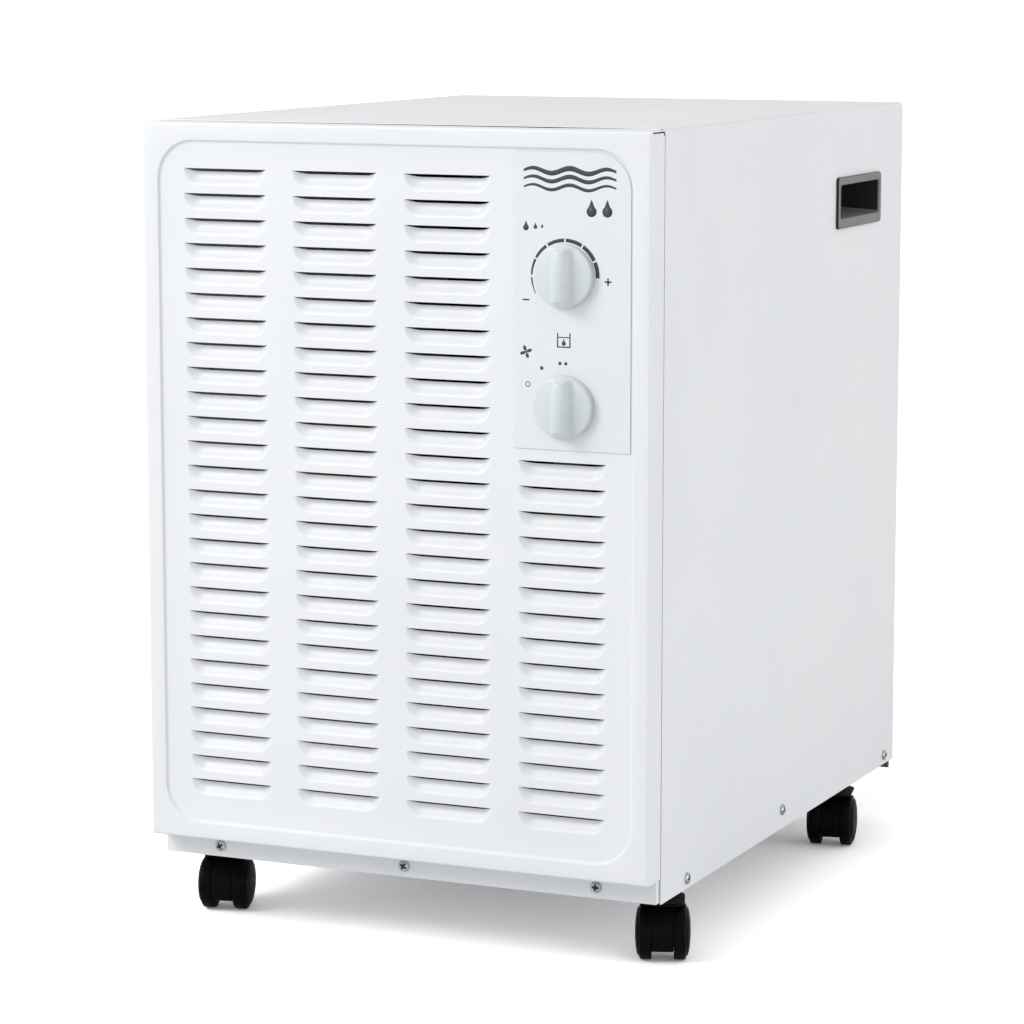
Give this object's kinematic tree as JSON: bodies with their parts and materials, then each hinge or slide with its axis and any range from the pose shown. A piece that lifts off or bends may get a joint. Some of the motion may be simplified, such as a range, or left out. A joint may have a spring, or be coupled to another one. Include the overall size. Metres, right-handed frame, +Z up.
{
  "type": "dehumidifier",
  "caption": "Upright steel dehumidifier with a louvred front, two rotary dials, recessed side grips, a pull-out water tank at the rear and twin-wheel casters.",
  "frame": {"origin": "centre of the bounding box in X and Y, on the floor under the wheels", "axes": "+Z up, -Y towards the louvred front with the dials, +X to the right as seen from the front"},
  "size_m": [0.4026, 0.5612, 0.588],
  "materials": {
    "white_enamel": "white powder coat, satin",
    "label_film": "printed film, pale blue-grey",
    "knob_plastic": "satin moulded plastic",
    "grey_plastic": "moulded, mid grey",
    "slate_plastic": "moulded, slate grey",
    "black_plastic": "satin black",
    "black_rubber": "matt",
    "zinc_steel": "zinc plated",
    "galvanised_steel": "galvanised",
    "aluminium_fins": "mill finish",
    "copper_pipe": "drawn copper",
    "black_enamel": "black enamel",
    "filter_foam": "open-cell foam"
  },
  "bodies": {
    "cabinet": {"base_pan": "white_enamel", "cabinet_cover": "white_enamel", "caster_front_left_plate": "black_plastic", "caster_front_right_plate": "black_plastic", "caster_rear_left_plate": "black_plastic", "caster_rear_right_plate": "black_plastic", "coil_deck": "galvanised_steel", "compressor": "black_enamel", "compressor_foot_1": "black_rubber", "compressor_foot_2": "black_rubber", "compressor_foot_3": "black_rubber", "condenser_fins": "aluminium_fins", "condenser_tube": "copper_pipe", "control_bracket": "galvanised_steel", "control_label": "label_film", "discharge_pipe": "copper_pipe", "drip_tray": "slate_plastic", "evaporator_fins": "aluminium_fins", "evaporator_tube": "copper_pipe", "fan_motor": "black_enamel", "fan_shroud": "galvanised_steel", "front_panel": "white_enamel", "handle_left": "grey_plastic", "handle_right": "grey_plastic", "humidistat_body": "black_plastic", "mains_lead_gland": "black_rubber", "motor_strap": "galvanised_steel", "pan_screw_1": "zinc_steel", "pan_screw_2": "zinc_steel", "pan_screw_3": "zinc_steel", "rear_panel": "white_enamel", "run_capacitor": "aluminium_fins", "selector_body": "black_plastic", "splash_wall": "galvanised_steel", "suction_pipe": "copper_pipe", "tank_rail_left": "slate_plastic", "tank_rail_right": "slate_plastic", "tank_switch": "black_plastic"},
    "humidistat_dial": {"humidistat_knob": "knob_plastic", "humidistat_shaft": "zinc_steel"},
    "selector_dial": {"selector_knob": "knob_plastic", "selector_shaft": "zinc_steel"},
    "fan": {"fan_impeller": "black_plastic", "fan_shaft": "zinc_steel"},
    "tank": {"water_tank": "slate_plastic"},
    "float": {"tank_float": "knob_plastic"},
    "filter": {"filter_frame": "slate_plastic", "filter_mat": "filter_foam"},
    "caster_front_left": {"caster_front_left_hood": "black_plastic"},
    "wheel_front_left_a": {"caster_front_left_wheel_a": "black_plastic"},
    "wheel_front_left_b": {"caster_front_left_wheel_b": "black_plastic"},
    "caster_front_right": {"caster_front_right_hood": "black_plastic"},
    "wheel_front_right_a": {"caster_front_right_wheel_a": "black_plastic"},
    "wheel_front_right_b": {"caster_front_right_wheel_b": "black_plastic"},
    "caster_rear_left": {"caster_rear_left_hood": "black_plastic"},
    "wheel_rear_left_a": {"caster_rear_left_wheel_a": "black_plastic"},
    "wheel_rear_left_b": {"caster_rear_left_wheel_b": "black_plastic"},
    "caster_rear_right": {"caster_rear_right_hood": "black_plastic"},
    "wheel_rear_right_a": {"caster_rear_right_wheel_a": "black_plastic"},
    "wheel_rear_right_b": {"caster_rear_right_wheel_b": "black_plastic"}
  },
  "joints": [
    {"name": "humidistat_turn", "type": "hinge", "parent": "cabinet", "child": "humidistat_dial", "pos_m": [0.1317, -0.26465, 0.4886], "axis": [0, -1, 0], "range_deg": [-92, 120]},
    {"name": "selector_turn", "type": "hinge", "parent": "cabinet", "child": "selector_dial", "pos_m": [0.1317, -0.26465, 0.3991], "axis": [0, -1, 0], "range_deg": [0, 60]},
    {"name": "fan_spin", "type": "hinge", "parent": "cabinet", "child": "fan", "pos_m": [0, 0.11365, 0.40075], "axis": [0, -1, 0], "continuous": true},
    {"name": "tank_slide", "type": "slide", "parent": "cabinet", "child": "tank", "axis": [0, 1, 0], "range_m": [0, 0.2]},
    {"name": "float_swing", "type": "hinge", "parent": "tank", "child": "float", "pos_m": [0, 0.08695, 0.199], "axis": [1, 0, 0], "range_deg": [0, 14]},
    {"name": "filter_pull", "type": "slide", "parent": "cabinet", "child": "filter", "axis": [0, 1, 0], "range_m": [0, 0.05]},
    {"name": "swivel_front_left", "type": "hinge", "parent": "cabinet", "child": "caster_front_left", "pos_m": [-0.174, -0.18335, 0.0426], "axis": [0, 0, 1], "continuous": true},
    {"name": "roll_front_left_a", "type": "hinge", "parent": "caster_front_left", "child": "wheel_front_left_a", "pos_m": [-0.17097, -0.19599, 0.02], "axis": [0.9724, 0.2334, 0], "continuous": true},
    {"name": "roll_front_left_b", "type": "hinge", "parent": "caster_front_left", "child": "wheel_front_left_b", "pos_m": [-0.17097, -0.19599, 0.02], "axis": [0.9724, 0.2334, 0], "continuous": true},
    {"name": "swivel_front_right", "type": "hinge", "parent": "cabinet", "child": "caster_front_right", "pos_m": [0.174, -0.18335, 0.0426], "axis": [0, 0, 1], "continuous": true},
    {"name": "roll_front_right_a", "type": "hinge", "parent": "caster_front_right", "child": "wheel_front_right_a", "pos_m": [0.17866, -0.19549, 0.02], "axis": [0.9336, 0.3584, 0], "continuous": true},
    {"name": "roll_front_right_b", "type": "hinge", "parent": "caster_front_right", "child": "wheel_front_right_b", "pos_m": [0.17866, -0.19549, 0.02], "axis": [0.9336, 0.3584, 0], "continuous": true},
    {"name": "swivel_rear_left", "type": "hinge", "parent": "cabinet", "child": "caster_rear_left", "pos_m": [-0.174, 0.18915, 0.0426], "axis": [0, 0, 1], "continuous": true},
    {"name": "roll_rear_left_a", "type": "hinge", "parent": "caster_rear_left", "child": "wheel_rear_left_a", "pos_m": [-0.17866, 0.17701, 0.02], "axis": [0.9336, -0.3584, 0], "continuous": true},
    {"name": "roll_rear_left_b", "type": "hinge", "parent": "caster_rear_left", "child": "wheel_rear_left_b", "pos_m": [-0.17866, 0.17701, 0.02], "axis": [0.9336, -0.3584, 0], "continuous": true},
    {"name": "swivel_rear_right", "type": "hinge", "parent": "cabinet", "child": "caster_rear_right", "pos_m": [0.174, 0.18915, 0.0426], "axis": [0, 0, 1], "continuous": true},
    {"name": "roll_rear_right_a", "type": "hinge", "parent": "caster_rear_right", "child": "wheel_rear_right_a", "pos_m": [0.1767, 0.17643, 0.02], "axis": [0.9781, 0.2079, 0], "continuous": true},
    {"name": "roll_rear_right_b", "type": "hinge", "parent": "caster_rear_right", "child": "wheel_rear_right_b", "pos_m": [0.1767, 0.17643, 0.02], "axis": [0.9781, 0.2079, 0], "continuous": true}
  ]
}
